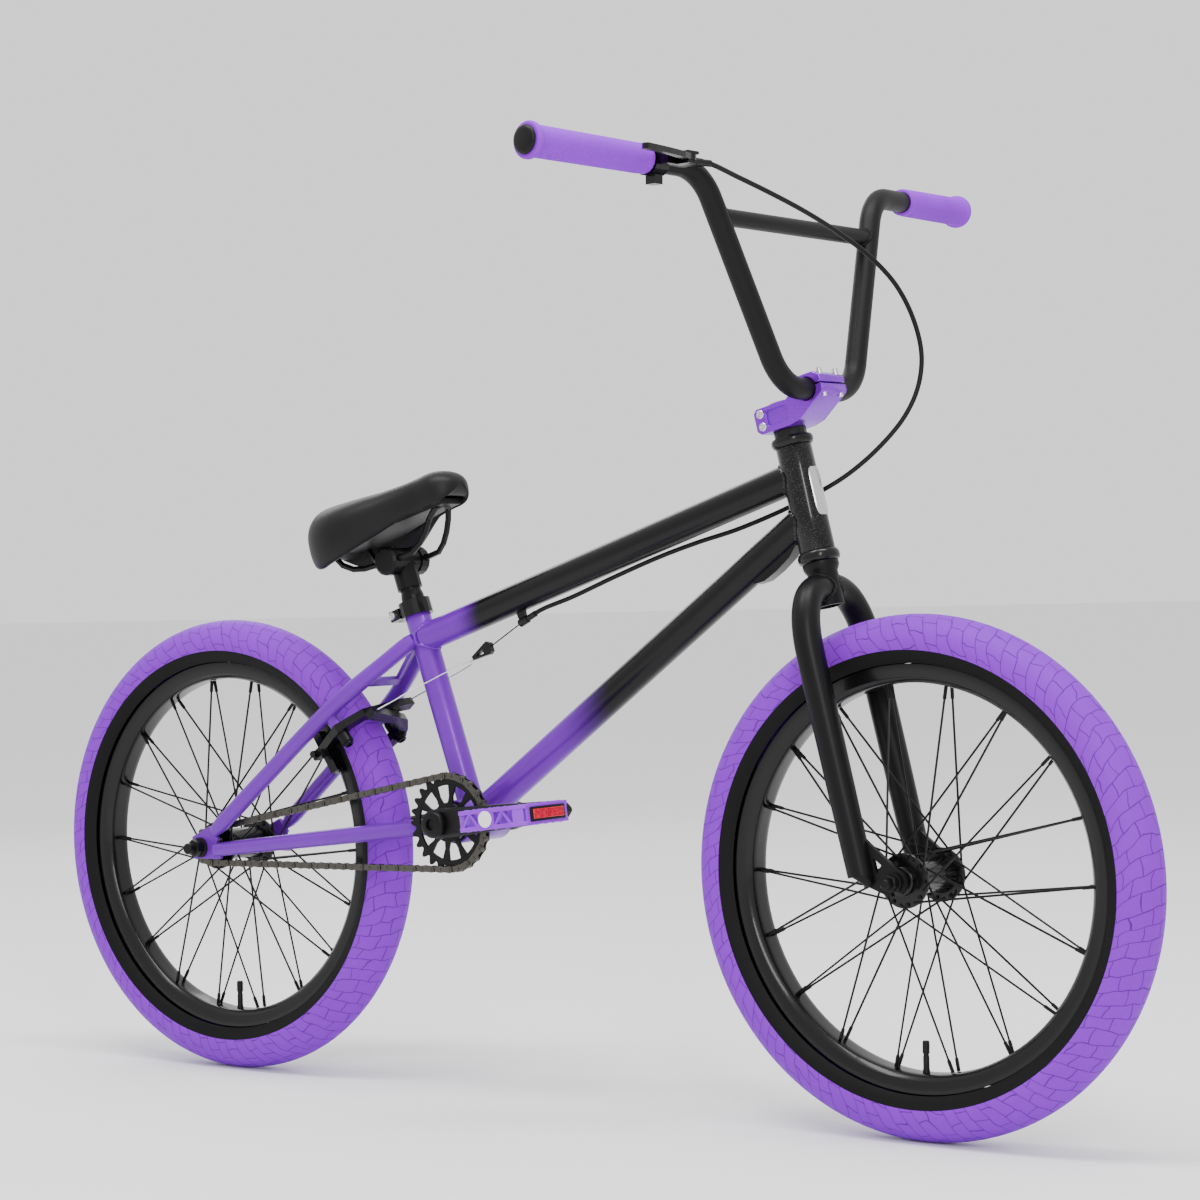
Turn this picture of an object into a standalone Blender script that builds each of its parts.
"""A 20 inch BMX bike as an assembly of separate pieces.

Metres, +Z up, +X is the way the bike rolls, +Y is its left side.  The origin is on the floor,
midway between the wheels.  The chain, the sprocket and the driver are on the right, at -Y.
"""

import math

import bmesh
import bpy
import numpy as np
from mathutils import Matrix, Vector

# ---- driving dimensions -------------------------------------------------------------------

GAP = 0.0003                  # air left between two pieces that touch
WHEELBASE = 0.920
TYRE_RADIUS = 0.259
TYRE_HALF_WIDTH = 0.0285
RIM_RADIUS = 0.2105
RIM_INNER_RADIUS = 0.1915
RIM_HALF_WIDTH = 0.0170
WHEEL_STEPS = 40              # flats around a tyre or a rim
SPOKES_PER_SIDE = 18
SPOKE_CROSS = math.radians(60)

HEAD_ANGLE = math.radians(76)
FORK_OFFSET = 0.034           # axle ahead of the steering axis
HEAD_BOTTOM = 0.3405          # along the steering axis, above the foot of the axle
HEAD_TOP = 0.4495
HEAD_RADIUS = 0.0182
STEERER_RADIUS = 0.0143
FORK_LEG_SIDE = 0.056
FORK_LEG_RADIUS = 0.0143

BRACKET = Vector((-0.103, 0.0, 0.298))      # centre of the bottom bracket
BRACKET_RADIUS = 0.0235
BRACKET_HALF_WIDTH = 0.0365
SEAT_ANGLE = math.radians(71)
SEAT_TUBE_LENGTH = 0.2475
SEAT_TUBE_RADIUS = 0.0143
TOP_TUBE_RADIUS = 0.0160
DOWN_TUBE_RADIUS = 0.0165
FRAME_WALL = 0.0016
STAY_RADIUS = 0.0092
DROPOUT_FACE = 0.0555         # inner face of a rear dropout
DROPOUT_THICK = 0.0050

CHAIN_LINE = 0.0450
CHAIN_PITCH = 0.0127
SPROCKET_TEETH = 25
COG_TEETH = 9
CRANK_LENGTH = 0.1745
CRANK_RISE = math.radians(6.7)              # the right crank points forward and a little up

BAR_RADIUS = 0.0111
BAR_ALONG, BAR_AHEAD = 0.4962, 0.0432       # centre of the bar on the steering axis
BAR_LEAN = math.radians(8.1)
BAR_LOW_SIDE, BAR_HIGH_SIDE, BAR_END_SIDE = 0.0653, 0.1585, 0.3900
BAR_RISE = 0.2113
BAR_SWEEP = 0.1358            # the ends go this far back for each metre out
BAR_UPSWEEP = 0.0301
BAR_BEND = 0.050
CROSSBAR_RISE = 0.1660
GRIP_LENGTH = 0.158

SADDLE_PITCH = math.radians(13.5)

# ---- directions and places worked out from them ---------------------------------------------

REAR = Vector((-WHEELBASE / 2, 0.0, TYRE_RADIUS))
FRONT = Vector((WHEELBASE / 2, 0.0, TYRE_RADIUS))
LEFT = Vector((0.0, 1.0, 0.0))
HEAD_UP = Vector((-math.cos(HEAD_ANGLE), 0.0, math.sin(HEAD_ANGLE)))
HEAD_AHEAD = Vector((math.sin(HEAD_ANGLE), 0.0, math.cos(HEAD_ANGLE)))
HEAD_FOOT = FRONT - HEAD_AHEAD * FORK_OFFSET
SEAT_UP = Vector((-math.cos(SEAT_ANGLE), 0.0, math.sin(SEAT_ANGLE)))
CRANK_OUT = Vector((math.cos(CRANK_RISE), 0.0, math.sin(CRANK_RISE)))
CRANK_UP = Vector((-math.sin(CRANK_RISE), 0.0, math.cos(CRANK_RISE)))


def on_head(along, ahead=0.0, side=0.0):
    """A point given in the steering axis' own directions."""
    return HEAD_FOOT + HEAD_UP * along + HEAD_AHEAD * ahead + LEFT * side


# ---- how a mesh becomes a named piece ---------------------------------------------------------

def skin(name, colour, roughness, metallic):
    """A plain material."""
    material = bpy.data.materials.new(name)
    material.use_nodes = True
    shader = material.node_tree.nodes["Principled BSDF"]
    shader.inputs["Base Color"].default_value = (*colour, 1.0)
    shader.inputs["Roughness"].default_value = roughness
    shader.inputs["Metallic"].default_value = metallic
    return material


def finish(name, mesh_builder, colour, roughness, metallic, smooth=35):
    """Turn a bmesh into an object with its own material and outward faces."""
    bmesh.ops.recalc_face_normals(mesh_builder, faces=mesh_builder.faces)
    mesh = bpy.data.meshes.new(name)
    mesh_builder.to_mesh(mesh)
    mesh_builder.free()
    mesh.shade_smooth()
    mesh.set_sharp_from_angle(angle=math.radians(smooth))
    piece = bpy.data.objects.new(name, mesh)
    bpy.context.scene.collection.objects.link(piece)
    mesh.materials.append(skin(name, colour, roughness, metallic))
    return piece


PURPLE_GLOSS = ((0.16, 0.045, 0.36), 0.22, 0.3)
PURPLE_RUBBER = ((0.25, 0.06, 0.52), 0.65, 0.0)
PURPLE_METAL = ((0.22, 0.04, 0.50), 0.25, 0.8)
PURPLE_PLASTIC = ((0.26, 0.07, 0.56), 0.45, 0.0)
BLACK_GLOSS = ((0.012, 0.012, 0.014), 0.18, 0.3)
BLACK_SATIN = ((0.020, 0.020, 0.021), 0.45, 0.2)
BLACK_PLASTIC = ((0.018, 0.018, 0.018), 0.55, 0.0)
DARK_STEEL = ((0.10, 0.095, 0.085), 0.40, 0.9)
BRIGHT_STEEL = ((0.55, 0.55, 0.55), 0.30, 1.0)


def combine(piece, other, operation):
    """Cut another mesh out of a piece, or weld it on, and hide that other mesh."""
    step = piece.modifiers.new(operation.lower(), "BOOLEAN")
    step.operation = operation
    step.solver = "EXACT"
    step.object = other
    other.hide_render = True
    other.display_type = "WIRE"
    return piece


def cut(piece, *others):
    for other in others:
        combine(piece, other, "DIFFERENCE")
    return piece


def weld(piece, *others):
    for other in others:
        combine(piece, other, "UNION")
    return piece


def across(direction):
    """Two unit vectors at right angles to a direction and to each other."""
    direction = direction.normalized()
    helper = LEFT if abs(direction.y) < 0.9 else Vector((1.0, 0.0, 0.0))
    first = direction.cross(helper).normalized()
    return first, direction.cross(first).normalized()


# ---- the ways the solids are made ----------------------------------------------------------

def turned(name, profile, centre, axis, finish_as, steps=24, closed=True, start=0.0):
    """Turn a profile of (radius, height) points round an axis.

    A closed profile makes a ring; an open one ends on the axis and makes a solid.
    """
    axis = axis.normalized()
    first, second = across(axis)
    build = bmesh.new()
    rings = []
    for radius, height in profile:
        if radius < 1e-9:
            rings.append([build.verts.new(centre + axis * height)])
            continue
        turn = [start + 2 * math.pi * k / steps for k in range(steps)]
        rings.append([build.verts.new(centre + axis * height + first * (radius * math.cos(t))
                                      + second * (radius * math.sin(t))) for t in turn])
    pairs = list(zip(rings, rings[1:]))
    if closed:
        pairs.append((rings[-1], rings[0]))
    for low, high in pairs:
        for k in range(steps):
            corners = [low[k % len(low)], low[(k + 1) % len(low)],
                       high[(k + 1) % len(high)], high[k % len(high)]]
            build.faces.new(list(dict.fromkeys(corners)))
    return finish(name, build, *finish_as)


def rod(name, start, end, radius, finish_as, steps=20, inner=None, end_radius=None):
    """A straight round bar, or a tube when an inner radius is given."""
    length = (end - start).length
    end_radius = radius if end_radius is None else end_radius
    if inner is None:
        profile = [(0.0, 0.0), (radius, 0.0), (end_radius, length), (0.0, length)]
        return turned(name, profile, start, end - start, finish_as, steps, closed=False)
    profile = [(inner, 0.0), (radius, 0.0), (end_radius, length), (inner, length)]
    return turned(name, profile, start, end - start, finish_as, steps)


def swept(name, path, radius, finish_as, sides=14, inner=None, loop=False):
    """Carry a circle along a path of points; the frame is carried without twisting."""
    path = [Vector(p) for p in path]
    radii = radius if isinstance(radius, (list, tuple)) else [radius] * len(path)
    count = len(path)
    build = bmesh.new()
    side = None
    shells = [[] for _ in range(1 if inner is None else 2)]
    for k, point in enumerate(path):
        before = path[(k - 1) % count] if loop else path[max(k - 1, 0)]
        after = path[(k + 1) % count] if loop else path[min(k + 1, count - 1)]
        tangent = (after - before).normalized()
        side = across(tangent)[0] if side is None else (side - tangent * side.dot(tangent)).normalized()
        other = tangent.cross(side)
        for shell, size in zip(shells, [radii[k], inner]):
            shell.append([build.verts.new(point + side * (size * math.cos(a))
                                          + other * (size * math.sin(a)))
                          for a in (2 * math.pi * j / sides for j in range(sides))])
    for shell in shells:
        for low, high in zip(shell, shell[1:]):
            for j in range(sides):
                build.faces.new([low[j], low[(j + 1) % sides], high[(j + 1) % sides], high[j]])
    for end in (0, -1):
        if inner is None:
            build.faces.new(shells[0][end])
            continue
        outer_ring, inner_ring = shells[0][end], shells[1][end]
        for j in range(sides):
            k = (j + 1) % sides
            build.faces.new([outer_ring[j], outer_ring[k], inner_ring[k], inner_ring[j]])
    return finish(name, build, *finish_as)


def plate(name, outline, origin, across_x, across_y, thickness, finish_as):
    """Extrude an outline of (x, y) points, given in two directions; the origin is mid-thickness."""
    normal = across_x.cross(across_y).normalized()
    build = bmesh.new()
    layers = []
    for lift in (-thickness / 2, thickness / 2):
        layers.append([build.verts.new(origin + across_x * x + across_y * y + normal * lift)
                       for x, y in outline])
    low, high = layers
    for j in range(len(outline)):
        k = (j + 1) % len(outline)
        build.faces.new([low[j], low[k], high[k], high[j]])
    build.faces.new(low)
    build.faces.new(high)
    bmesh.ops.recalc_face_normals(build, faces=build.faces)
    bmesh.ops.triangulate(build, faces=build.faces)
    return finish(name, build, *finish_as)


def lofted(name, stations, section, finish_as):
    """Join one closed section at each station along a piece."""
    build = bmesh.new()
    rings = [[build.verts.new(p) for p in section(s)] for s in stations]
    for low, high in zip(rings, rings[1:]):
        for j in range(len(low)):
            k = (j + 1) % len(low)
            build.faces.new([low[j], low[k], high[k], high[j]])
    for ring in (rings[0], rings[-1]):
        build.faces.new(ring)
    bmesh.ops.recalc_face_normals(build, faces=build.faces)
    bmesh.ops.triangulate(build, faces=build.faces)
    return finish(name, build, *finish_as)


def block(name, centre, directions, sizes, finish_as=BLACK_PLASTIC):
    """A box with its own three directions."""
    x, y, z = directions
    half = [size / 2 for size in sizes]
    outline = [(-half[0], -half[1]), (half[0], -half[1]), (half[0], half[1]), (-half[0], half[1])]
    return plate(name, outline, centre, x, y, sizes[2], finish_as)


def arc(centre, radius, start, end, steps):
    """Points on an arc, angles in degrees."""
    return [(centre[0] + radius * math.cos(math.radians(a)),
             centre[1] + radius * math.sin(math.radians(a)))
            for a in np.linspace(start, end, steps)]


def rounded_path(corners, radius, steps=6):
    """A path through corners, each turned into an arc of the given radius."""
    corners = [Vector(c) for c in corners]
    path = [corners[0]]
    for before, corner, after in zip(corners, corners[1:], corners[2:]):
        back = (before - corner).normalized()
        onward = (after - corner).normalized()
        half_angle = back.angle(onward) / 2
        reach = radius / math.tan(half_angle)
        middle = corner + (back + onward).normalized() * (radius / math.sin(half_angle))
        first, last = corner + back * reach, corner + onward * reach
        for k in range(steps + 1):
            spoke = (first - middle).slerp(last - middle, k / steps)
            path.append(middle + spoke.normalized() * radius)
    path.append(corners[-1])
    return path


def smooth_path(points, count):
    """A centripetal Catmull-Rom curve through hand-placed points, read at equal distances."""
    knots = np.array([tuple(p) for p in points])
    knots = np.vstack([2 * knots[0] - knots[1], knots, 2 * knots[-1] - knots[-2]])
    fine = []
    for a, b, c, d in zip(knots, knots[1:], knots[2:], knots[3:]):
        at_b = np.linalg.norm(b - a) ** 0.5
        at_c = at_b + np.linalg.norm(c - b) ** 0.5
        at_d = at_c + np.linalg.norm(d - c) ** 0.5
        for t in np.linspace(at_b, at_c, 16, endpoint=False):
            ab = a + (b - a) * t / at_b
            bc = b + (c - b) * (t - at_b) / (at_c - at_b)
            cd = c + (d - c) * (t - at_c) / (at_d - at_c)
            early = ab + (bc - ab) * t / at_c
            late = bc + (cd - bc) * (t - at_b) / (at_d - at_b)
            fine.append(early + (late - early) * (t - at_b) / (at_c - at_b))
    fine = np.array(fine + [knots[-2]])
    steps = np.linalg.norm(np.diff(fine, axis=0), axis=1)
    travelled = np.concatenate([[0.0], np.cumsum(steps)])
    wanted = np.linspace(0.0, travelled[-1], count)
    return [Vector([float(np.interp(w, travelled, fine[:, k])) for k in range(3)]) for w in wanted]


def cord_tube(name, points, radius, finish_as):
    """A round cord along a path: a poly curve with a bevel and closed ends."""
    curve = bpy.data.curves.new(name, "CURVE")
    curve.dimensions = "3D"
    curve.bevel_depth = radius
    curve.bevel_resolution = 2
    curve.use_fill_caps = True
    run = curve.splines.new("POLY")
    run.points.add(len(points) - 1)
    for knot, point in zip(run.points, points):
        knot.co = (*point, 1.0)
    piece = bpy.data.objects.new(name, curve)
    bpy.context.scene.collection.objects.link(piece)
    curve.materials.append(skin(name, *finish_as))
    return piece


# ---- frame -----------------------------------------------------------------------------------

def clearance_rod(name, start, end, radius):
    """A cutter the size of a tube and its gap."""
    return rod(name, start, end, radius + GAP, BLACK_PLASTIC)


def frame_tubes():
    head_bottom, head_top = on_head(HEAD_BOTTOM), on_head(HEAD_TOP)
    rod("head_tube", head_bottom, head_top, HEAD_RADIUS, BLACK_GLOSS, 24, inner=0.0165)

    seat_top = BRACKET + SEAT_UP * SEAT_TUBE_LENGTH
    seat_tube = rod("seat_tube", BRACKET, seat_top, SEAT_TUBE_RADIUS, PURPLE_GLOSS,
                    inner=SEAT_TUBE_RADIUS - 0.0013)
    shell_ends = [BRACKET + LEFT * s * BRACKET_HALF_WIDTH for s in (-1, 1)]
    rod("bottom_bracket_shell", *shell_ends, BRACKET_RADIUS, PURPLE_GLOSS, 28,
        inner=BRACKET_RADIUS - 0.0030)

    def shell_cutter(name):
        return clearance_rod(name, BRACKET - LEFT * 0.06, BRACKET + LEFT * 0.06, BRACKET_RADIUS)

    def head_cutter(name):
        return clearance_rod(name, on_head(HEAD_BOTTOM - 0.02), on_head(HEAD_TOP + 0.02), HEAD_RADIUS)

    def seat_cutter(name):
        return clearance_rod(name, BRACKET, seat_top + SEAT_UP * 0.02, SEAT_TUBE_RADIUS)

    cut(seat_tube, shell_cutter("seat_tube_mitre"))

    top_rear, top_front = Vector((-0.1728, 0.0, 0.4948)), Vector((0.3240, 0.0, 0.6582))
    top_tube = rod("top_tube", top_rear, top_front, TOP_TUBE_RADIUS, BLACK_GLOSS, 16,
                   inner=TOP_TUBE_RADIUS - FRAME_WALL)
    cut(top_tube, head_cutter("top_tube_head_mitre"), seat_cutter("top_tube_seat_mitre"))

    down_front = Vector((0.3354, 0.0, 0.6165))
    down_tube = rod("down_tube", BRACKET, down_front, DOWN_TUBE_RADIUS, BLACK_GLOSS, 16,
                    inner=DOWN_TUBE_RADIUS - FRAME_WALL)
    weld(down_tube, down_tube_gusset(down_front))
    cut(down_tube, head_cutter("down_tube_head_mitre"), shell_cutter("down_tube_shell_mitre"),
        seat_cutter("down_tube_seat_mitre"))
    return top_tube


def down_tube_gusset(down_front):
    """A folded plate under the front of the down tube, open at both ends."""
    along = (down_front - BRACKET).normalized()
    below = Vector((along.z, 0.0, -along.x))
    length, drop = 0.0640, 0.0105
    middle = down_front - along * (0.0215 + length / 2) + below * DOWN_TUBE_RADIUS
    gusset = block("down_tube_gusset", middle + below * (drop / 2 - 0.004), (along, LEFT, below),
                   (length, 0.0200, drop), BLACK_GLOSS)
    cut(gusset, rod("gusset_mitre", BRACKET, down_front, DOWN_TUBE_RADIUS - FRAME_WALL / 2,
                    BLACK_GLOSS, 16))
    return gusset


STOP = Vector((-0.0310, 0.0, 0.5137))        # the cable stop under the top tube
STOP_AXIS = Vector((0.0550, 0.0, 0.0280)).normalized()


def cable_stop():
    """A hanging lug with a round barrel that ends the brake housing."""
    barrel = rod("cable_stop", STOP - STOP_AXIS * 0.0060, STOP + STOP_AXIS * 0.0065, 0.0045,
                 BLACK_GLOSS, 12)
    top_along = Vector((0.4968, 0.0, 0.1634)).normalized()
    top_normal = Vector((-top_along.z, 0.0, top_along.x))
    lug = block("cable_stop_lug", STOP + top_normal * 0.0056, (top_along, LEFT, top_normal),
                (0.0085, 0.0044, 0.0112))
    bore = rod("cable_stop_bore", STOP - STOP_AXIS * 0.02, STOP + STOP_AXIS * 0.02, 0.0021,
               BLACK_GLOSS, 8)
    return cut(weld(barrel, lug), bore)


# ---- seat stays, chain stays, brake posts ------------------------------------------------------

STAY_ANGLE = math.radians(39.7)
STAY_ALONG = Vector((math.cos(STAY_ANGLE), 0.0, math.sin(STAY_ANGLE)))
STAY_FRONT = Vector((math.sin(STAY_ANGLE), 0.0, -math.cos(STAY_ANGLE)))


def on_stay(along, side, forward=0.0):
    """A point in the plane of the seat stays, measured from the rear axle."""
    return REAR + STAY_ALONG * along + STAY_FRONT * forward + LEFT * side


POST_ALONG, POST_SIDE = 0.2430, 0.0450
POST_RADIUS = 0.0040


def seat_stay(name, side):
    stations = [(0.0285, 0.0605), (0.150, 0.0560), (0.215, 0.0530), (0.262, 0.0475),
                (0.300, 0.0370), (0.330, 0.0262), (0.362, 0.0170)]
    path = smooth_path([on_stay(s, side * y) for s, y in stations], 13)
    stay = swept(name, path, STAY_RADIUS, PURPLE_GLOSS, 12)
    boss = rod(name + "_boss", on_stay(POST_ALONG, side * POST_SIDE, 0.0),
               on_stay(POST_ALONG, side * POST_SIDE, 0.0192), 0.0080, PURPLE_GLOSS, 16)
    post = rod(name + "_post", on_stay(POST_ALONG, side * POST_SIDE, 0.010),
               on_stay(POST_ALONG, side * POST_SIDE, 0.0430), POST_RADIUS, PURPLE_GLOSS, 12)
    weld(stay, boss, post)
    cut(stay, clearance_rod(name + "_mitre", BRACKET, BRACKET + SEAT_UP * 0.28, SEAT_TUBE_RADIUS))
    return stay


def seat_stay_bridge():
    """A flat bridge between the stays, cut to the round of each stay."""
    outline = [(0.292, -0.040), (0.302, -0.036), (0.318, -0.030), (0.326, 0.0), (0.318, 0.030),
               (0.302, 0.036), (0.292, 0.040), (0.290, 0.028), (0.296, 0.0), (0.290, -0.028)]
    bridge = plate("seat_stay_bridge", outline, REAR.copy(), STAY_ALONG, LEFT, 0.0050, PURPLE_GLOSS)
    for side, name in ((-1, "right"), (1, "left")):
        stations = [(0.215, 0.0530), (0.262, 0.0475), (0.300, 0.0370), (0.330, 0.0262),
                    (0.362, 0.0170)]
        path = smooth_path([on_stay(s, side * y) for s, y in stations], 9)
        cut(bridge, swept("bridge_mitre_" + name, path, STAY_RADIUS + 3 * GAP, PURPLE_GLOSS, 12))
    return bridge


def chain_stay(name, side):
    """The stay with its dropout plate, whose slot opens to the rear."""
    corners = [(-0.4375, 0.0580, 0.2570), (-0.2300, 0.0450, 0.2810), (-0.1080, 0.0235, 0.2950)]
    path = rounded_path([(x, side * y, z) for x, y, z in corners], 0.40, 4)
    stay = swept(name, path, STAY_RADIUS, PURPLE_GLOSS, 12)
    outline = [(-0.014, -0.013), (0.030, -0.0125), (0.033, 0.000), (0.024, 0.006),
               (0.0272, 0.0105), (0.0150, 0.0250), (-0.004, 0.0160), (-0.014, 0.012)]
    tab = plate(name + "_dropout", outline, REAR + LEFT * side * (DROPOUT_FACE + DROPOUT_THICK / 2),
                Vector((1, 0, 0)), Vector((0, 0, 1)), DROPOUT_THICK, PURPLE_GLOSS)
    slot = block(name + "_slot", REAR + Vector((-0.015, side * 0.058, 0.0)),
                 (Vector((1, 0, 0)), Vector((0, 0, 1)), LEFT), (0.030, 0.0116, 0.02))
    eye = rod(name + "_eye", REAR + LEFT * side * 0.050, REAR + LEFT * side * 0.066, 0.0058,
              BLACK_PLASTIC)
    weld(stay, tab)
    cut(stay, slot, eye, clearance_rod(name + "_mitre", BRACKET - LEFT * 0.06,
                                       BRACKET + LEFT * 0.06, BRACKET_RADIUS))
    return stay


# ---- headset, bottom bracket, seat clamp ----------------------------------------------------------

def headset():
    turned("headset_cup_lower", [(0.0150, 0.3288), (0.0190, 0.3288), (0.0215, 0.3320),
                                 (0.0215, 0.3365), (0.0195, 0.3402), (0.0150, 0.3402)],
           HEAD_FOOT, HEAD_UP, BLACK_GLOSS, 18)
    turned("headset_cup_upper", [(0.0150, 0.4498), (0.0195, 0.4498), (0.0215, 0.4530),
                                 (0.0215, 0.4570), (0.0190, 0.4595), (0.0150, 0.4595)],
           HEAD_FOOT, HEAD_UP, BLACK_GLOSS, 18)


def bottom_bracket_bearings():
    for side, name in ((-1, "right"), (1, "left")):
        turned("bottom_bracket_bearing_" + name,
               [(0.0098, 0.0285), (0.0202, 0.0285), (0.0202, 0.0368), (0.0218, 0.0368),
                (0.0218, 0.0388), (0.0098, 0.0388)], BRACKET, LEFT * side, BLACK_SATIN, 16)


def seat_clamp():
    """A split collar with two ears behind, pulled together by a bolt."""
    middle = BRACKET + SEAT_UP * (SEAT_TUBE_LENGTH - 0.0035)
    band = turned("seat_clamp", [(0.0146, -0.0085), (0.0180, -0.0085), (0.0180, 0.0085),
                                 (0.0130, 0.0085), (0.0130, 0.0038), (0.0146, 0.0038)],
                  middle, SEAT_UP, BLACK_GLOSS, 18)
    behind = SEAT_UP.cross(LEFT).normalized()
    ears = block("seat_clamp_ears", middle + behind * 0.0235, (behind, LEFT, SEAT_UP),
                 (0.0140, 0.0210, 0.0120))
    split = block("seat_clamp_split", middle + behind * 0.0240, (behind, LEFT, SEAT_UP),
                  (0.0210, 0.0022, 0.0300))
    cut(weld(band, ears), split)


def mirrored_ends(half_profile):
    """The full profile of a shaft from the half of it on one side, outer end first."""
    return [(r, -y) for r, y in half_profile] + [(r, y) for r, y in reversed(half_profile)]


def rear_axle():
    """The axle with its locknuts inside the dropouts, and flanged nuts outside them."""
    profile = mirrored_ends([(0.0, 0.0830), (0.0050, 0.0830), (0.0050, 0.0642), (0.0115, 0.0642),
                             (0.0115, 0.0609), (0.0050, 0.0609), (0.0050, 0.0552),
                             (0.0085, 0.0552), (0.0085, 0.0540), (0.0050, 0.0540)])
    shaft = turned("rear_axle", profile, REAR, LEFT, BLACK_SATIN, 12, closed=False)
    for side, name in ((-1, "right"), (1, "left")):
        weld(shaft, turned("rear_nut_" + name, [(0.0, 0.0630), (0.0098, 0.0630), (0.0098, 0.0740),
                                                (0.0, 0.0740)],
                           REAR, LEFT * side, BLACK_SATIN, 6, closed=False, start=0.17))


# ---- chain, driver, crankset ------------------------------------------------------------------------

def pitch_radius(teeth):
    return CHAIN_PITCH / (2 * math.sin(math.pi / teeth))


def chain():
    """A closed channel round sprocket and cog, open inwards where the teeth run."""
    big, small = pitch_radius(SPROCKET_TEETH), pitch_radius(COG_TEETH)
    reach = BRACKET - REAR
    heading = math.atan2(reach.z, reach.x)
    lean = math.asin((big - small) / Vector((reach.x, 0, reach.z)).length)
    upper, lower = heading + math.pi / 2 + lean, heading - math.pi / 2 - lean
    stations = [(BRACKET, big, a) for a in np.linspace(lower, upper, 19)]
    stations += [(REAR, small, a) for a in np.linspace(upper, lower + 2 * math.pi, 10)]
    section = [(-0.0042, -0.0040), (0.0043, -0.0040), (0.0043, 0.0040), (-0.0042, 0.0040),
               (-0.0042, 0.0019), (0.0031, 0.0019), (0.0031, -0.0019), (-0.0042, -0.0019)]
    build = bmesh.new()
    rings = []
    for centre, radius, angle in stations:
        out = Vector((math.cos(angle), 0.0, math.sin(angle)))
        rings.append([build.verts.new(centre + out * (radius + rise) + LEFT * (side - CHAIN_LINE))
                      for rise, side in section])
    for low, high in zip(rings, rings[1:] + rings[:1]):
        for j in range(len(section)):
            k = (j + 1) % len(section)
            build.faces.new([low[j], low[k], high[k], high[j]])
    return finish("chain", build, *DARK_STEEL)


def toothed(name, teeth, root, tip, centre, finish_as):
    """A flat disc with pointed teeth."""
    outline = []
    for k in range(teeth):
        for part, radius in ((0.0, root), (0.35, root), (0.675, tip)):
            angle = 2 * math.pi * (k + part) / teeth
            outline.append((radius * math.cos(angle), radius * math.sin(angle)))
    return plate(name, outline, centre - LEFT * CHAIN_LINE, Vector((1, 0, 0)), Vector((0, 0, 1)),
                 0.0030, finish_as)


def sprocket():
    disc = toothed("sprocket", SPROCKET_TEETH, 0.0468, 0.0532, BRACKET, BLACK_SATIN)
    cut(disc, rod("sprocket_bore", BRACKET - LEFT * 0.06, BRACKET - LEFT * 0.03, 0.0098,
                  BLACK_SATIN, 16))
    windows = 6
    for k in range(windows):
        turn = 360 / windows
        outline = arc((0, 0), 0.0395, turn * k + 7, turn * (k + 1) - 7, 4)
        outline += arc((0, 0), 0.0215, turn * (k + 1) - 13, turn * k + 13, 2)
        cut(disc, plate("sprocket_window_%d" % k, outline, BRACKET - LEFT * CHAIN_LINE,
                        Vector((1, 0, 0)), Vector((0, 0, 1)), 0.02, BLACK_SATIN))


def rear_cog():
    """The driver: a bearing sleeve with the nine-tooth cog on it."""
    sleeve = turned("rear_cog", [(0.0056, 0.0393), (0.0128, 0.0393), (0.0128, 0.0535),
                                 (0.0056, 0.0535)], REAR, -LEFT, DARK_STEEL, 18)
    teeth = toothed("rear_cog_teeth", COG_TEETH, 0.0138, 0.0203, REAR, DARK_STEEL)
    bore = rod("rear_cog_bore", REAR - LEFT * 0.06, REAR - LEFT * 0.03, 0.0095, DARK_STEEL, 18)
    weld(sleeve, cut(teeth, bore))


ARM_INNER, ARM_THICK, ARM_FLARE = 0.0545, 0.0145, 0.0130


def arm_section(side, out, up):
    """A rectangle across the arm at a distance from the spindle, leaning outward to the pedal."""
    def section(along):
        if along < 0.0:
            half = 0.0162 * math.sqrt(max(1.0 - (along / 0.0163) ** 2, 0.0))
        elif along > CRANK_LENGTH:
            half = 0.0125 * math.sqrt(max(1.0 - ((along - CRANK_LENGTH) / 0.0126) ** 2, 0.0))
        else:
            half = 0.0162 + (0.0125 - 0.0162) * along / CRANK_LENGTH
        lean = min(max((along - 0.0200) / (CRANK_LENGTH - 0.0400), 0.0), 1.0)
        inner = BRACKET + out * along + LEFT * side * (ARM_INNER + ARM_FLARE * lean)
        outer = inner + LEFT * side * ARM_THICK
        return [inner - up * half, inner + up * half, outer + up * half, outer - up * half]
    return section


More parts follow.
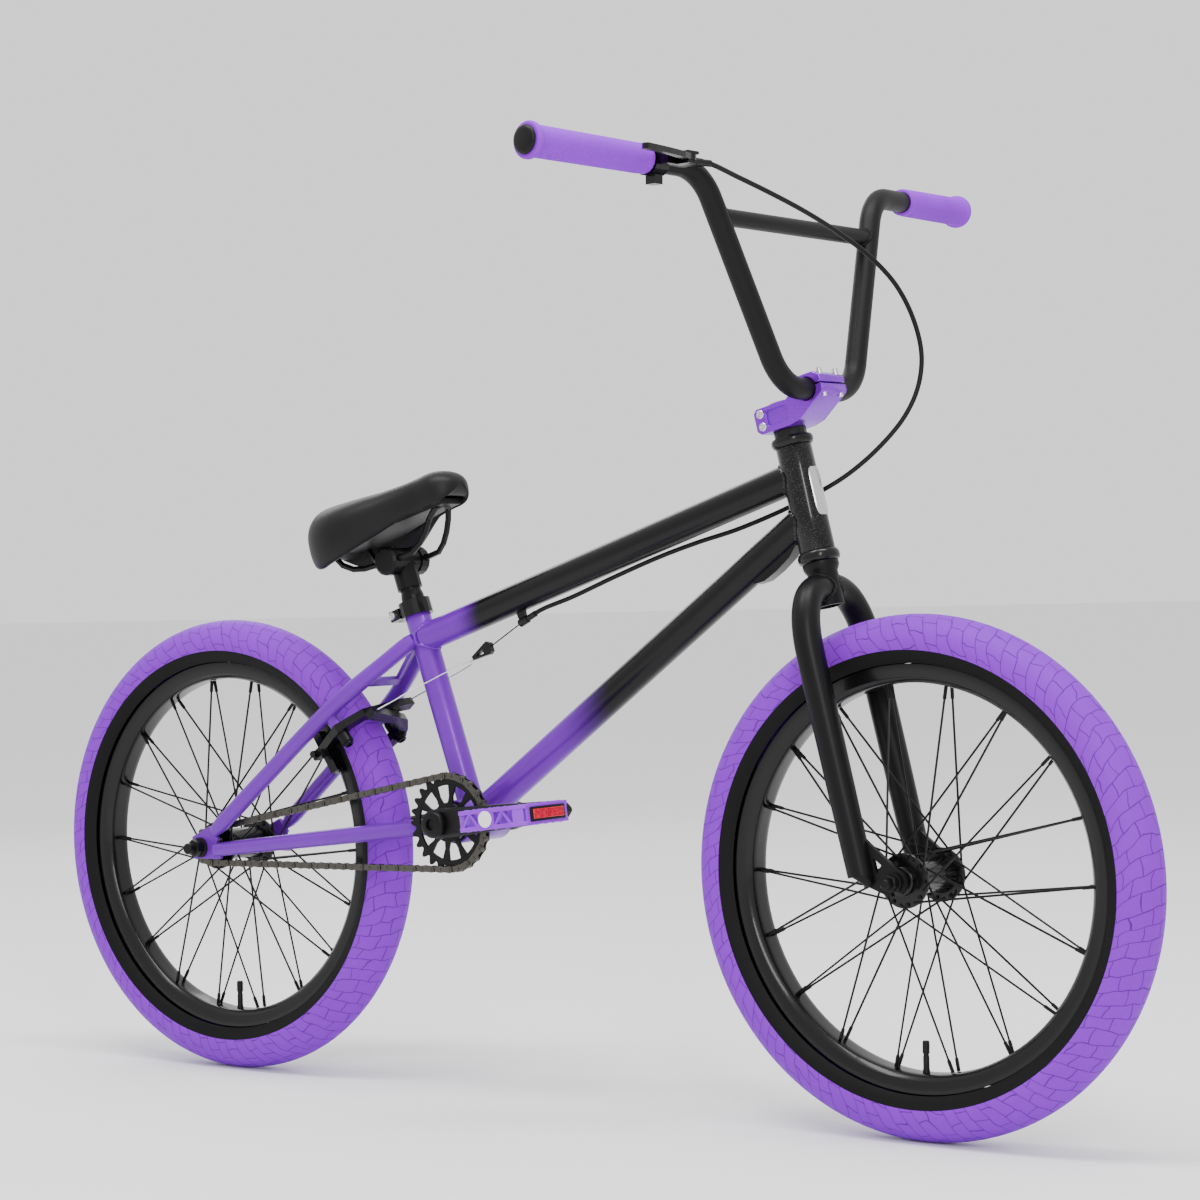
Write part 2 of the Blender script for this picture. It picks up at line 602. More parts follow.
def crankset():
    spindle_profile = [(0.0, -0.0775), (0.0105, -0.0775), (0.0145, -0.0750), (0.0145, -0.0694),
                       (0.0095, -0.0694), (0.0095, 0.0694), (0.0145, 0.0694), (0.0145, 0.0750),
                       (0.0105, 0.0775), (0.0, 0.0775)]
    turned("crank_spindle", spindle_profile, BRACKET, LEFT, BLACK_SATIN, 16, closed=False)
    for side, name, out in ((-1, "right", CRANK_OUT), (1, "left", -CRANK_OUT)):
        up = CRANK_UP if side < 0 else -CRANK_UP
        stations = [-0.0160, -0.0141, -0.0100, -0.0050, 0.0, 0.0200, CRANK_LENGTH - 0.0200,
                    CRANK_LENGTH, CRANK_LENGTH + 0.0055, CRANK_LENGTH + 0.0100, CRANK_LENGTH + 0.0124]
        arm = lofted("crank_arm_" + name, stations, arm_section(side, out, up), BLACK_SATIN)
        end = BRACKET + out * CRANK_LENGTH
        cut(arm, rod("crank_bore_" + name, BRACKET + LEFT * side * 0.04, BRACKET + LEFT * side * 0.09,
                     0.0098, BLACK_SATIN, 20),
            rod("pedal_bore_" + name, end + LEFT * side * 0.05, end + LEFT * side * 0.11, 0.0073,
                BLACK_SATIN, 16))
        inner = ARM_INNER + ARM_FLARE
        turned("pedal_spindle_" + name,
               [(0.0, inner + 0.0005), (0.0070, inner + 0.0005), (0.0070, inner + ARM_THICK + 0.0004),
                (0.0088, inner + ARM_THICK + 0.0004), (0.0088, inner + ARM_THICK + 0.0100),
                (0.0058, inner + ARM_THICK + 0.0120), (0.0050, 0.1930), (0.0, 0.1930)],
               end, LEFT * side, DARK_STEEL, 14, closed=False)
        pedal(name, side, end, out)


def pedal(name, side, end, out):
    """A plastic platform pedal: an open frame with a barrel and two ribs."""
    up = CRANK_UP
    forward = CRANK_OUT
    half_long, half_wide, corner = 0.0440, 0.0460, 0.0120
    middle = end + LEFT * side * 0.1525

    def chamfered(long, wide, cut_off):
        return [(-long, -wide + cut_off), (-long + cut_off, -wide), (long - cut_off, -wide),
                (long, -wide + cut_off), (long, wide - cut_off), (long - cut_off, wide),
                (-long + cut_off, wide), (-long, wide - cut_off)]

    body = plate("pedal_" + name, chamfered(half_long, half_wide, corner), middle, forward, LEFT,
                 0.0215, PURPLE_PLASTIC)
    window = plate("pedal_window_" + name, chamfered(half_long - 0.008, half_wide - 0.008, 0.008),
                   middle, forward, LEFT, 0.0400, PURPLE_PLASTIC)
    barrel = rod("pedal_barrel_" + name, middle - LEFT * half_wide, middle + LEFT * half_wide,
                 0.0105, PURPLE_PLASTIC, 14)
    rib = block("pedal_rib_" + name, middle, (forward, LEFT, up), (2 * half_long - 0.010, 0.0070, 0.0160))
    bore = rod("pedal_inner_bore_" + name, middle - LEFT * side * 0.06, middle + LEFT * side * 0.0412,
               0.0064, PURPLE_PLASTIC, 14)
    cut(weld(cut(body, window), barrel, rib), bore)


# ---- wheels --------------------------------------------------------------------------------------------

def wheel(name, centre, flanges, hub_profile):
    """Tyre, rim, hub and one set of spokes for each side of a wheel."""
    ring_centre = TYRE_RADIUS - TYRE_HALF_WIDTH
    outer = arc((ring_centre, 0.0), TYRE_HALF_WIDTH, -134, 134, 9)
    inner = arc((ring_centre, 0.0), TYRE_HALF_WIDTH - 0.0035, 128, -128, 4)
    half_step = math.pi / WHEEL_STEPS

    def tangent_flats(profile):
        """Radii grown so that each flat of the ring lies on the true circle."""
        return [(r / math.cos(half_step), y) for r, y in profile]

    turned(name + "_tyre", tangent_flats(outer + inner), centre, LEFT, PURPLE_RUBBER, WHEEL_STEPS,
           start=half_step)
    half = RIM_HALF_WIDTH
    rim = [(RIM_RADIUS, -half), (RIM_RADIUS - 0.0130, -half), (RIM_INNER_RADIUS, -half + 0.0050),
           (RIM_INNER_RADIUS, half - 0.0050), (RIM_RADIUS - 0.0130, half), (RIM_RADIUS, half),
           (RIM_RADIUS, half - 0.0022), (RIM_RADIUS - 0.0120, 0.0), (RIM_RADIUS, -half + 0.0022)]
    turned(name + "_rim", tangent_flats(rim), centre, LEFT, BLACK_SATIN, WHEEL_STEPS,
           start=half_step)
    turned(name + "_hub", hub_profile, centre, LEFT, BLACK_GLOSS, 16)
    for (side, flange), label in zip(flanges, ("right", "left")):
        spokes(name + "_spokes_" + label, centre, side, flange)


HOLE_RADIUS, SPOKE_RING = 0.0235, 0.0281


def spokes(name, centre, side, flange):
    """Eighteen crossing spokes joined by the ring where they meet the flange."""
    ring = turned(name, [(SPOKE_RING, flange - 0.0030), (SPOKE_RING + 0.0022, flange - 0.0030),
                         (SPOKE_RING + 0.0022, flange + 0.0030), (SPOKE_RING, flange + 0.0030)],
                  centre, LEFT * side, BLACK_SATIN, 18)
    sideways = LEFT * side
    build = bmesh.new()
    for k in range(SPOKES_PER_SIDE):
        hand = 1 if k % 2 else -1
        turn = 2 * math.pi * k / SPOKES_PER_SIDE
        hole = Vector((math.cos(turn), 0, math.sin(turn))) * HOLE_RADIUS
        hole += sideways * (flange + hand * 0.0018)
        turn += hand * SPOKE_CROSS
        nipple = Vector((math.cos(turn), 0, math.sin(turn))) * (RIM_INNER_RADIUS - 0.0012)
        nipple += sideways * (0.0040 + hand * 0.0016)
        start = hole.lerp(nipple, 0.054)
        along = (nipple - start).normalized()
        first, second = across(along)
        rings = []
        for point in (start, nipple):
            rings.append([build.verts.new(centre + point + first * (0.0010 * math.cos(a))
                                          + second * (0.0010 * math.sin(a)))
                          for a in (2 * math.pi * j / 3 for j in range(3))])
        low, high = rings
        for j in range(3):
            build.faces.new([low[j], low[(j + 1) % 3], high[(j + 1) % 3], high[j]])
        build.faces.new(low)
        build.faces.new(high)
    weld(ring, finish(name + "_wires", build, *BLACK_SATIN))


def wheels():
    front_hub = [(0.0052, -0.0498), (0.0085, -0.0498), (0.0085, -0.0440), (0.0140, -0.0435),
                 (0.0145, -0.0370), (0.0271, -0.0365), (0.0271, -0.0335), (0.0175, -0.0320),
                 (0.0155, -0.0200), (0.0155, 0.0200), (0.0175, 0.0320), (0.0271, 0.0335),
                 (0.0271, 0.0365), (0.0145, 0.0370), (0.0140, 0.0435), (0.0085, 0.0440),
                 (0.0085, 0.0498), (0.0052, 0.0498)]
    wheel("front", FRONT, ((-1, 0.0350), (1, 0.0350)), front_hub)
    rear_hub = [(0.0055, -0.0388), (0.0115, -0.0388), (0.0120, -0.0340), (0.0271, -0.0335),
                (0.0271, -0.0305), (0.0190, -0.0290), (0.0175, -0.0180), (0.0175, 0.0200),
                (0.0190, 0.0320), (0.0271, 0.0335), (0.0271, 0.0365), (0.0145, 0.0370),
                (0.0140, 0.0450), (0.0085, 0.0460), (0.0085, 0.0535), (0.0055, 0.0535)]
    wheel("rear", REAR, ((-1, 0.0320), (1, 0.0350)), rear_hub)


# ---- fork, stem, handlebar -------------------------------------------------------------------------------

def fork():
    turned("fork_steerer", [(0.0120, 0.2835), (0.0155, 0.2835), (0.0155, 0.3180), (0.0185, 0.3235),
                            (0.0185, 0.3284), (STEERER_RADIUS, 0.3284), (STEERER_RADIUS, 0.4940),
                            (0.0120, 0.4940)], HEAD_FOOT, HEAD_UP, BLACK_SATIN, 20)
    bend = [(0.004, 0.3020), (0.020, 0.3015), (0.036, 0.2930), (0.048, 0.2760), (0.0545, 0.2530),
            (FORK_LEG_SIDE, 0.2250), (FORK_LEG_SIDE, 0.1900)]
    for side, name in ((-1, "right"), (1, "left")):
        path = smooth_path([on_head(a, 0.0, side * y) for y, a in bend], 10)
        path += [on_head(0.100, 0.0, side * FORK_LEG_SIDE), on_head(0.000, 0.0, side * FORK_LEG_SIDE)]
        radii = [FORK_LEG_RADIUS] * 10 + [0.0139, 0.0132]
        leg = swept("fork_leg_" + name, path, radii, BLACK_SATIN, 12)
        outline = [(-0.004, -0.002), (0.026, -0.0125)] + arc((FORK_OFFSET, 0.0), 0.0135, -100, 60, 6)
        outline += [(0.008, 0.052), (-0.004, 0.056)]
        middle = on_head(0.0, 0.0, side * 0.0529)
        tab = plate("fork_dropout_" + name, outline, middle, HEAD_AHEAD, HEAD_UP, 0.0052, BLACK_SATIN)
        window = plate("fork_window_" + name, [(0.0165, 0.012), (0.0250, 0.0195), (0.0165, 0.0290)],
                       middle, HEAD_AHEAD, HEAD_UP, 0.02, BLACK_SATIN)
        mitre = block("fork_toe_" + name, on_head(-0.0060, -0.0130, side * FORK_LEG_SIDE),
                      ((HEAD_AHEAD - HEAD_UP).normalized(), (HEAD_AHEAD + HEAD_UP).normalized(), LEFT),
                      (0.0400, 0.0190, 0.0400))
        eye = rod("fork_eye_" + name, on_head(0.0, FORK_OFFSET, side * 0.045),
                  on_head(0.0, FORK_OFFSET, side * 0.062), 0.0052, BLACK_SATIN, 16)
        slot = block("fork_slot_" + name, on_head(-0.010, FORK_OFFSET, side * 0.0529),
                     (HEAD_AHEAD, HEAD_UP, LEFT), (0.0104, 0.0200, 0.0200))
        crown = rod("fork_crown_mitre_" + name, on_head(0.25), on_head(0.35), 0.0155 + GAP,
                    BLACK_SATIN, 24)
        centre_cut = block("fork_centre_cut_" + name, on_head(0.30, 0.0, -side * 0.0400),
                           (HEAD_AHEAD, HEAD_UP, LEFT), (0.05, 0.06, 0.0800))
        cut(leg, mitre, crown, centre_cut)
        cut(weld(leg, tab), window, eye, slot)


def front_axle():
    profile = mirrored_ends([(0.0, 0.0740), (0.0047, 0.0740), (0.0047, 0.0580), (0.0095, 0.0580),
                             (0.0095, 0.0559), (0.0047, 0.0559)])
    shaft = turned("front_axle", profile, FRONT, LEFT, BLACK_SATIN, 12, closed=False)
    for side, name in ((-1, "right"), (1, "left")):
        weld(shaft, turned("front_nut_" + name, [(0.0, 0.0570), (0.0085, 0.0570), (0.0085, 0.0660),
                                                 (0.0, 0.0660)],
                           FRONT, LEFT * side, BLACK_SATIN, 6, closed=False, start=0.17))


BAR_CENTRE = on_head(BAR_ALONG, BAR_AHEAD)
BAR_UP = Vector((-math.sin(BAR_LEAN), 0.0, math.cos(BAR_LEAN)))
STEM_WIDTH = 0.0460


def stem():
    """A top-load stem: the bar lies in a cradle under a bolted lid."""
    turned("headset_spacer", [(0.0146, 0.4598), (0.0168, 0.4598), (0.0168, 0.4668), (0.0146, 0.4668)],
           HEAD_FOOT, HEAD_UP, BLACK_GLOSS, 20)
    low, split = 0.4672, BAR_ALONG + 0.0012
    outline = [(-0.0235, low), (0.0170, low), (0.0290, low + 0.0025), (0.0620, 0.4905),
               (0.0620, split), (BAR_AHEAD - 0.0200, split), (0.0170, 0.4935), (-0.0235, 0.4935)]
    body = plate("stem_body", outline, HEAD_FOOT.copy(), HEAD_AHEAD, HEAD_UP, STEM_WIDTH, PURPLE_METAL)
    cut(body, clearance_rod("stem_steerer_bore", on_head(0.45), on_head(0.51), STEERER_RADIUS),
        clearance_rod("stem_bar_seat", BAR_CENTRE - LEFT * 0.05, BAR_CENTRE + LEFT * 0.05, BAR_RADIUS),
        block("stem_pinch_slot", on_head(0.48, -0.018), (HEAD_AHEAD, HEAD_UP, LEFT),
              (0.020, 0.06, 0.0025)))
    lid_low = split + 0.0018
    lid_outline = [(BAR_AHEAD - 0.0200, lid_low), (0.0620, lid_low), (0.0620, lid_low + 0.0085),
                   (BAR_AHEAD + 0.0105, lid_low + 0.0135), (BAR_AHEAD - 0.0060, lid_low + 0.0135),
                   (BAR_AHEAD - 0.0200, lid_low + 0.0085)]
    lid = plate("stem_clamp", lid_outline, HEAD_FOOT.copy(), HEAD_AHEAD, HEAD_UP, STEM_WIDTH,
                PURPLE_METAL)
    cut(lid, clearance_rod("stem_lid_seat", BAR_CENTRE - LEFT * 0.05, BAR_CENTRE + LEFT * 0.05,
                           BAR_RADIUS))


def bar_point(rise, side):
    return BAR_CENTRE + BAR_UP * rise + LEFT * side


def bar_end(side, inboard):
    """A point on the grip part of the bar, so far in from its end, and its outward direction."""
    outward = Vector((-BAR_SWEEP, side, BAR_UPSWEEP)).normalized()
    top = bar_point(BAR_RISE, side * BAR_HIGH_SIDE)
    length = (BAR_END_SIDE - BAR_HIGH_SIDE) / abs(outward.y)
    return top + outward * (length - inboard), outward


def handlebar():
    corners = [bar_end(-1, 0.0)[0], bar_point(BAR_RISE, -BAR_HIGH_SIDE), bar_point(0, -BAR_LOW_SIDE),
               bar_point(0, BAR_LOW_SIDE), bar_point(BAR_RISE, BAR_HIGH_SIDE), bar_end(1, 0.0)[0]]
    bar = swept("handlebar", rounded_path(corners, BAR_BEND, 4), BAR_RADIUS, BLACK_SATIN, 10,
                inner=0.0094)
    share = CROSSBAR_RISE / BAR_RISE
    reach = BAR_LOW_SIDE + (BAR_HIGH_SIDE - BAR_LOW_SIDE) * share - 0.0060
    crossbar = rod("crossbar", bar_point(CROSSBAR_RISE, -reach), bar_point(CROSSBAR_RISE, reach),
                   0.0086, BLACK_SATIN, 10)
    weld(bar, crossbar)
    for side, name in ((-1, "right"), (1, "left")):
        end, outward = bar_end(side, 0.0)
        turned("grip_" + name, [(0.0114, 0.0006), (0.0160, 0.0006), (0.0178, 0.0020), (0.0178, 0.0060),
                                (0.0155, 0.0085), (0.0146, GRIP_LENGTH - 0.004),
                                (0.0136, GRIP_LENGTH), (0.0114, GRIP_LENGTH)],
               end, -outward, PURPLE_RUBBER, 16)
        turned("bar_end_" + name, [(0.0, 0.0045), (0.0110, 0.0040), (0.0138, 0.0020), (0.0138, 0.0004),
                                   (0.0084, 0.0004), (0.0082, -0.0160), (0.0, -0.0160)],
               end, outward, BLACK_PLASTIC, 14, closed=False)


# ---- brake lever -------------------------------------------------------------------------------------------

LEVER_END, OUTWARD = bar_end(-1, GRIP_LENGTH + 0.0100)      # centre of the clamp band
LEVER_AHEAD = LEFT.cross(Vector((0, 0, 1)))
LEVER_AHEAD = (LEVER_AHEAD - OUTWARD * LEVER_AHEAD.dot(OUTWARD)).normalized()
LEVER_UP = LEVER_AHEAD.cross(-OUTWARD).normalized()
LEVER_UP = LEVER_UP if LEVER_UP.z > 0 else -LEVER_UP
INWARD = -OUTWARD


def on_lever(inward, ahead, up=0.0):
    return LEVER_END + INWARD * inward + LEVER_AHEAD * ahead + LEVER_UP * up


LEVER_PIVOT = on_lever(0.0120, 0.0370)
ADJUSTER_END = on_lever(0.0420, 0.0250)
ADJUSTER_AXIS = (on_lever(0.0420, 0.0250) - on_lever(0.0240, 0.0215)).normalized()


def brake_lever():
    """A hinged clamp band, a body with two lugs, the pivot pin and the barrel adjuster."""
    bracket = turned("brake_lever_bracket", [(0.0114, -0.0090), (0.0155, -0.0090), (0.0155, 0.0090),
                                             (0.0114, 0.0090)], LEVER_END, INWARD, BLACK_GLOSS, 14)
    directions = (INWARD, LEVER_AHEAD, LEVER_UP)
    body = block("lever_body", on_lever(0.0090, 0.0210), directions, (0.0340, 0.0130, 0.0120))
    lugs = block("lever_lugs", on_lever(0.0120, 0.0335), directions, (0.0150, 0.0170, 0.0120))
    slot = block("lever_slot", on_lever(0.0120, 0.0380), directions, (0.0400, 0.0190, 0.0066))
    pin = rod("lever_pin", LEVER_PIVOT - LEVER_UP * 0.0062, LEVER_PIVOT + LEVER_UP * 0.0062, 0.0025,
              BLACK_GLOSS, 10)
    nose = rod("lever_adjuster", ADJUSTER_END - ADJUSTER_AXIS * 0.0180, ADJUSTER_END, 0.0048,
               BLACK_GLOSS, 10, end_radius=0.0040)
    ear = block("lever_clamp_ear", on_lever(0.0, 0.0020, -0.0185), directions, (0.0110, 0.0120, 0.0090))
    bar_room = rod("lever_bar_room", on_lever(-0.02, 0.0), on_lever(0.04, 0.0), 0.0114, BLACK_GLOSS, 14)
    weld(bracket, body, lugs, ear)
    cut(bracket, slot, bar_room)
    weld(bracket, pin, nose)
    outline = arc((0.0, 0.0), 0.0062, -60, 120, 6)
    outline += [(-0.0170, 0.0105), (-0.0400, 0.0150), (-0.0650, 0.0190), (-0.0780, 0.0205),
                (-0.0805, 0.0160), (-0.0780, 0.0120), (-0.0650, 0.0125), (-0.0400, 0.0085),
                (-0.0150, 0.0015)]
    blade = plate("brake_lever", outline, LEVER_PIVOT, INWARD, LEVER_AHEAD, 0.0058, BLACK_GLOSS)
    cut(blade, rod("lever_eye", LEVER_PIVOT - LEVER_UP * 0.01, LEVER_PIVOT + LEVER_UP * 0.01, 0.0029,
                   BLACK_GLOSS, 12))


# ---- brake housing, carrier, straddle wire and U-brake ---------------------------------------------------------

HOUSING_POINTS = [(0.3480, -0.1350, 0.9429), (0.3562, -0.0900, 0.9305),
                  (0.3653, -0.0450, 0.9162), (0.3755, 0.0000, 0.8981), (0.3889, 0.0380, 0.8757),
                  (0.4024, 0.0660, 0.8471), (0.4122, 0.0820, 0.8128), (0.4170, 0.0880, 0.7776),
                  (0.4138, 0.0850, 0.7453), (0.4030, 0.0760, 0.7160), (0.3823, 0.0620, 0.6866),
                  (0.3568, 0.0450, 0.6605), (0.3332, 0.0320, 0.6440), (0.3120, 0.0265, 0.6345),
                  (0.2900, 0.0245, 0.6250), (0.2374, 0.0165, 0.6060), (0.1932, 0.0080, 0.5935),
                  (0.1487, 0.0020, 0.5795), (0.0900, 0.0000, 0.5590), (0.0350, 0.0000, 0.5390)]


def brake_housing():
    """The outer cable, from the adjuster round the left of the head tube to the frame stop."""
    start = ADJUSTER_END + ADJUSTER_AXIS * 0.0004
    points = [start, start + ADJUSTER_AXIS * 0.0080] + HOUSING_POINTS
    points += [STOP + STOP_AXIS * 0.0260, STOP + STOP_AXIS * 0.0069]
    return cord_tube("brake_housing", smooth_path(points, 62), 0.0025, BLACK_PLASTIC)


CARRIER = Vector((-0.0800, 0.0, 0.4850))
WIRE_AXIS = (STOP - CARRIER).normalized()


def cable_carrier():
    """A small yoke clamped on the inner wire, with a hook below for the straddle wire."""
    down = Vector((WIRE_AXIS.z, 0.0, -WIRE_AXIS.x))
    outline = [(-0.0240, 0.0015), (-0.0060, 0.0060), (-0.0010, 0.0075), (0.0035, 0.0060),
               (0.0055, -0.0035), (0.0015, -0.0075), (-0.0045, -0.0065), (-0.0240, -0.0030)]
    yoke = plate("cable_carrier", outline, CARRIER, WIRE_AXIS, down, 0.0056, BLACK_GLOSS)
    window = plate("carrier_window", [(-0.0190, 0.0000), (-0.0075, 0.0025), (-0.0075, -0.0025)],
                   CARRIER, WIRE_AXIS, down, 0.02, BLACK_GLOSS)
    wire = rod("inner_wire", CARRIER + WIRE_AXIS * 0.002, STOP - STOP_AXIS * 0.0050, 0.0008,
               BRIGHT_STEEL, 6)
    weld(cut(yoke, window), wire)


ARM_LEVELS = {"right": 0.0245, "left": 0.0350}
ARM_END = (0.2840, 0.0330)


def brake_arm(name, side):
    """A U-brake arm: pad below its post, cable end carried over the tyre to the other side."""
    level = ARM_LEVELS[name]
    outline = [(0.1945, -0.0500), (0.1945, -0.0375), (0.2080, -0.0370), (0.2300, -0.0350),
               (0.2500, -0.0360), (0.2640, -0.0250), (0.2700, -0.0050), (0.2740, 0.0150),
               (0.2770, 0.0280), (0.2790, 0.0390), (0.2900, 0.0380), (0.2890, 0.0250),
               (0.2850, 0.0080), (0.2800, -0.0120), (0.2740, -0.0320), (0.2560, -0.0480),
               (0.2450, -0.0540), (0.2300, -0.0520), (0.2080, -0.0480)]
    mirrored = [(s, -side * y) for s, y in outline]
    arm = plate("brake_arm_" + name, mirrored, REAR + STAY_FRONT * level, STAY_ALONG, LEFT, 0.0090,
                BLACK_GLOSS)
    hub = rod("brake_hub_" + name, on_stay(POST_ALONG, side * POST_SIDE, 0.0196),
              on_stay(POST_ALONG, side * POST_SIDE, level + 0.0053), 0.0088, BLACK_GLOSS, 16)
    bolt = rod("pad_bolt_" + name, on_stay(0.2010, side * 0.0280, level),
               on_stay(0.2010, side * 0.0560, level), 0.0040, BLACK_GLOSS, 8)
    outward = (STAY_ALONG * 0.1990 + STAY_FRONT * 0.0220).normalized()
    pad = block("brake_pad_" + name, on_stay(0.1985, side * 0.0252, 0.0220),
                (outward, LEFT, outward.cross(LEFT)), (0.0105, 0.0114, 0.0500))
    bore = rod("arm_bore_" + name, on_stay(POST_ALONG, side * POST_SIDE, 0.0),
               on_stay(POST_ALONG, side * POST_SIDE, 0.06), POST_RADIUS + GAP, BLACK_GLOSS, 12)
    cut(weld(arm, hub, bolt, pad), bore)


def straddle_wire():
    """The wire that links the two arms, through the yoke's hook."""
    crown = CARRIER - WIRE_AXIS * 0.0275
    right_end = on_stay(ARM_END[0] + 0.0070, ARM_END[1] - 0.0010, ARM_LEVELS["right"])
    left_end = on_stay(ARM_END[0] + 0.0070, -ARM_END[1] + 0.0010, ARM_LEVELS["left"])
    points = [left_end, left_end.lerp(crown, 0.45) + LEFT * -0.0060,
              crown + LEFT * -0.0070 - WIRE_AXIS * 0.0030, crown,
              crown + LEFT * 0.0070 - WIRE_AXIS * 0.0030,
              right_end.lerp(crown, 0.45) + LEFT * 0.0060, right_end]
    return swept("straddle_wire", smooth_path(points, 19), 0.0008, BRIGHT_STEEL, 5)


# ---- seat ------------------------------------------------------------------------------------------------------

SADDLE_ALONG = Vector((math.cos(SADDLE_PITCH), 0.0, math.sin(SADDLE_PITCH)))
SADDLE_UP = Vector((-math.sin(SADDLE_PITCH), 0.0, math.cos(SADDLE_PITCH)))
SADDLE_CLAMP = BRACKET + SEAT_UP * 0.3000


def on_saddle(along, side, up):
    """A point in the saddle's own directions, measured from its clamp."""
    return SADDLE_CLAMP + SADDLE_ALONG * along + LEFT * side + SADDLE_UP * up


def saddle_width(along):
    """Half width: full and round at the tail, waisted, then a narrow round nose."""
    tail = math.sqrt(max(1.0 - ((-0.040 - along) / 0.0690) ** 2, 0.0)) if along < -0.040 else 1.0
    nose = math.sqrt(max(1.0 - ((along - 0.078) / 0.0270) ** 2, 0.0)) if along > 0.078 else 1.0
    ease = min(max((along + 0.040) / 0.105, 0.0), 1.0)
    ease = ease * ease * (3 - 2 * ease)
    return (0.0690 + (0.0300 - 0.0690) * ease) * tail * nose


SKIRT_TAIL, SKIRT_NOSE = 0.0740, 0.0440
SADDLE_TOP = 0.0825


def cover_section(along):
    half = max(saddle_width(along), 0.0060)
    ease = min(max((along + 0.060) / 0.140, 0.0), 1.0)
    skirt = SKIRT_TAIL + (SKIRT_NOSE - SKIRT_TAIL) * ease
    roll = math.sqrt(max(half / 0.069, 0.0))
    skirt *= min(0.45 + 0.55 * roll * 1.6, 1.0)
    shell = []
    for k in range(11):
        angle = math.pi * k / 10
        x, y = math.cos(angle), math.sin(angle)
        across_x = math.copysign(abs(x) ** 0.75, x) * half
        shell.append(on_saddle(along, across_x, SADDLE_TOP - skirt * (1.0 - abs(y) ** 0.55)))
    inner_half = half * 0.82
    closing = min(max((along + 0.1035) / 0.0180, 0.0), max((0.1010 - along) / 0.0120, 0.0), 1.0)
    for k in range(7):
        angle = math.pi - math.pi * k / 6
        height = (skirt - 0.0240) * 0.90 * max(math.sin(angle), 0.0) ** 0.5 * closing
        shell.append(on_saddle(along, math.cos(angle) * inner_half,
                               SADDLE_TOP - skirt + max(height, 0.0001 * math.sin(angle))))
    return shell


def base_section(along):
    half = max(saddle_width(along), 0.0060) * 0.66
    ease = min(max((along + 0.060) / 0.140, 0.0), 1.0)
    skirt = SKIRT_TAIL + (SKIRT_NOSE - SKIRT_TAIL) * ease
    ceiling = SADDLE_TOP - skirt + (skirt - 0.0240) * 0.90 * 0.66
    return [on_saddle(along, half * x, ceiling + z)
            for x, z in ((-1.0, -0.0035), (-0.85, -0.0012), (0.85, -0.0012), (1.0, -0.0035),
                         (0.80, -0.0075), (-0.80, -0.0075))]


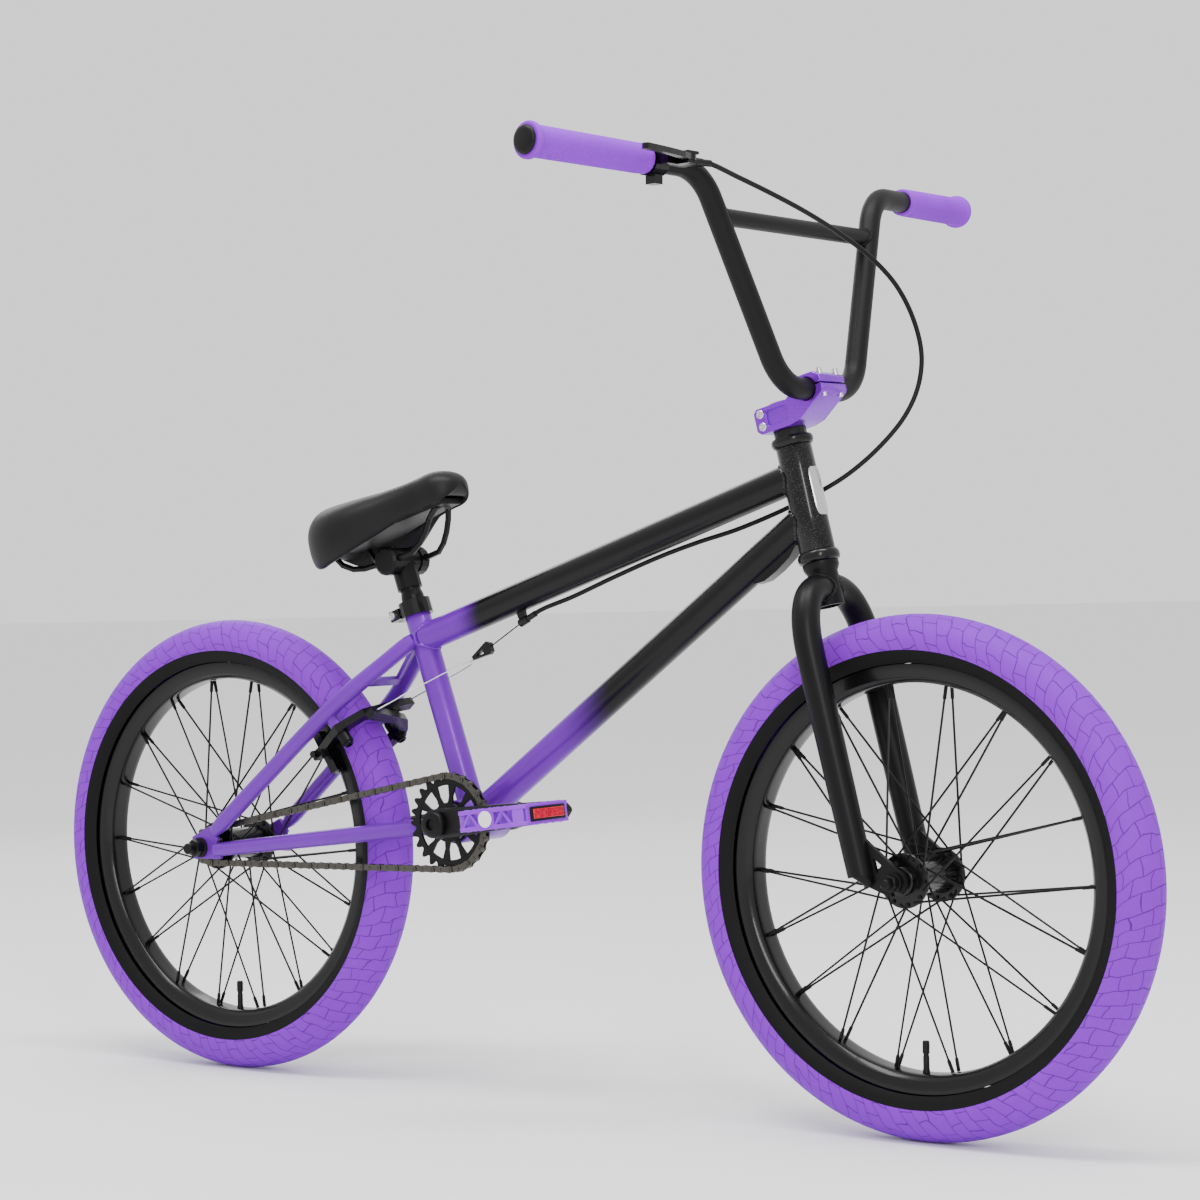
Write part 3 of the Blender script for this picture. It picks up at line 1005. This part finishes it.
def saddle():
    stations = [-0.1070, -0.0990, -0.0850, -0.0620, -0.0400, -0.0150, 0.0100, 0.0340, 0.0560, 0.0780,
                0.0910, 0.0990, 0.1030]
    lofted("saddle_cover", stations, cover_section, BLACK_PLASTIC)
    base = lofted("saddle_base", [-0.0800, -0.0550, -0.0250, 0.0050, 0.0350, 0.0620, 0.0840],
                  base_section, BLACK_PLASTIC)
    rails = [on_saddle(-0.0740, -0.0330, 0.0345), on_saddle(-0.0560, -0.0300, 0.0070),
             on_saddle(-0.0340, -0.0225, 0.0), on_saddle(-0.0200, -0.0225, 0.0),
             on_saddle(0.0200, -0.0225, 0.0), on_saddle(0.0320, -0.0225, 0.0),
             on_saddle(0.0500, -0.0190, 0.0120), on_saddle(0.0680, -0.0130, 0.0400),
             on_saddle(0.0760, 0.0, 0.0465)]
    rails += [on_saddle(0.0680, 0.0130, 0.0400), on_saddle(0.0500, 0.0190, 0.0120),
              on_saddle(0.0320, 0.0225, 0.0), on_saddle(0.0200, 0.0225, 0.0),
              on_saddle(-0.0200, 0.0225, 0.0), on_saddle(-0.0340, 0.0225, 0.0),
              on_saddle(-0.0560, 0.0300, 0.0070), on_saddle(-0.0740, 0.0330, 0.0345)]
    weld(base, swept("saddle_rails", smooth_path(rails, 29), 0.0035, BLACK_SATIN, 5))
    plates = turned("saddle_clamp_plates",
                    [(0.0, -0.0310), (0.0130, -0.0310), (0.0160, -0.0285), (0.0160, -0.0165),
                     (0.0040, -0.0165), (0.0040, 0.0165), (0.0160, 0.0165), (0.0160, 0.0285),
                     (0.0130, 0.0310), (0.0, 0.0310)], SADDLE_CLAMP, LEFT, BLACK_SATIN, 16,
                    closed=False)
    for side, name in ((-1, "right"), (1, "left")):
        cut(plates, rod("rail_groove_" + name, on_saddle(-0.05, side * 0.0225, 0.0),
                        on_saddle(0.05, side * 0.0225, 0.0), 0.0042, BLACK_SATIN, 10))
    band = turned("saddle_clamp", [(0.0044, -0.0160), (0.0145, -0.0160), (0.0145, 0.0160),
                                   (0.0044, 0.0160)], SADDLE_CLAMP, LEFT, BLACK_SATIN, 16)
    socket = rod("saddle_socket", SADDLE_CLAMP - SEAT_UP * 0.0330, SADDLE_CLAMP - SEAT_UP * 0.0050,
                 0.0140, BLACK_SATIN, 16)
    bolt_room = rod("clamp_bolt_room", SADDLE_CLAMP - LEFT * 0.03, SADDLE_CLAMP + LEFT * 0.03, 0.0044,
                    BLACK_SATIN, 12)
    post_room = rod("post_room", SADDLE_CLAMP - SEAT_UP * 0.05, SADDLE_CLAMP - SEAT_UP * 0.0075,
                    0.0115, BLACK_SATIN, 20)
    cut(weld(band, socket), bolt_room, post_room)
    turned("seat_post", [(0.0108, -0.1600), (0.0127, -0.1600), (0.0127, -0.0420), (0.0112, -0.0350),
                         (0.0112, -0.0080), (0.0095, -0.0080)], SADDLE_CLAMP, SEAT_UP, BLACK_SATIN, 20)


def main():
    for old in list(bpy.data.objects):
        bpy.data.objects.remove(old, do_unlink=True)
    weld(frame_tubes(), cable_stop())
    for side, name in ((-1, "right"), (1, "left")):
        seat_stay("seat_stay_" + name, side)
        chain_stay("chain_stay_" + name, side)
        brake_arm(name, side)
    seat_stay_bridge()
    headset()
    bottom_bracket_bearings()
    seat_clamp()
    rear_axle()
    chain()
    sprocket()
    rear_cog()
    crankset()
    wheels()
    fork()
    front_axle()
    stem()
    handlebar()
    brake_lever()
    brake_housing()
    cable_carrier()
    straddle_wire()
    saddle()


main()
